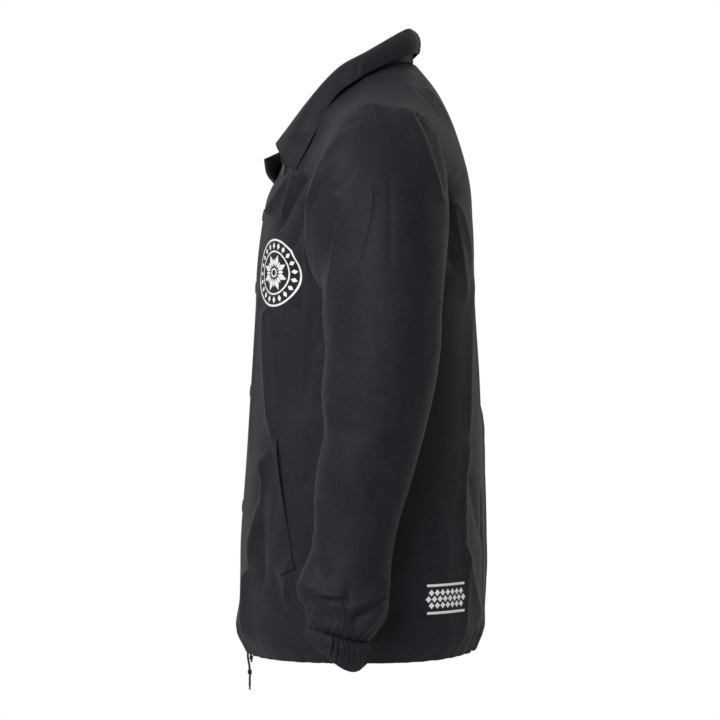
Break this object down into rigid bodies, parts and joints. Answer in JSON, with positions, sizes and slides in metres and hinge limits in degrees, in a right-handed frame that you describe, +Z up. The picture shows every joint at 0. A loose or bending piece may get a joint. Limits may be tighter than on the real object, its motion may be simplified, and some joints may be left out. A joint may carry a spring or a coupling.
{
  "type": "jacket",
  "caption": "Hip-length woven jacket, filled out as worn, with a folded collar, set-in sleeves, gathered elastic cuffs, slanted welt pockets and a hem cord; neck, cuffs and hem are open.",
  "frame": {"origin": "on the centre plane at the height of the neck ends of the shoulder seams, where the wearer's shoulders hold the jacket", "axes": "+Z up, the front faces -Y, the wearer's left is +X"},
  "size_m": [0.6951, 0.3165, 0.8388],
  "materials": {
    "shell": "soft sheen",
    "cuff": "soft sheen",
    "snap": "satin",
    "cord": "matte"
  },
  "bodies": {
    "root": {"front_left": "shell", "front_right": "shell", "back": "shell", "sleeve_left": "shell", "sleeve_right": "shell", "cuff_left": "cuff", "cuff_right": "cuff", "collar": "shell", "welt_left": "shell", "welt_right": "shell", "snap_1": "snap", "snap_2": "snap", "snap_3": "snap", "snap_4": "snap", "snap_5": "snap", "drawcord": "cord", "drawcord_knot": "cord", "drawcord_stub": "cord"}
  },
  "joints": []
}
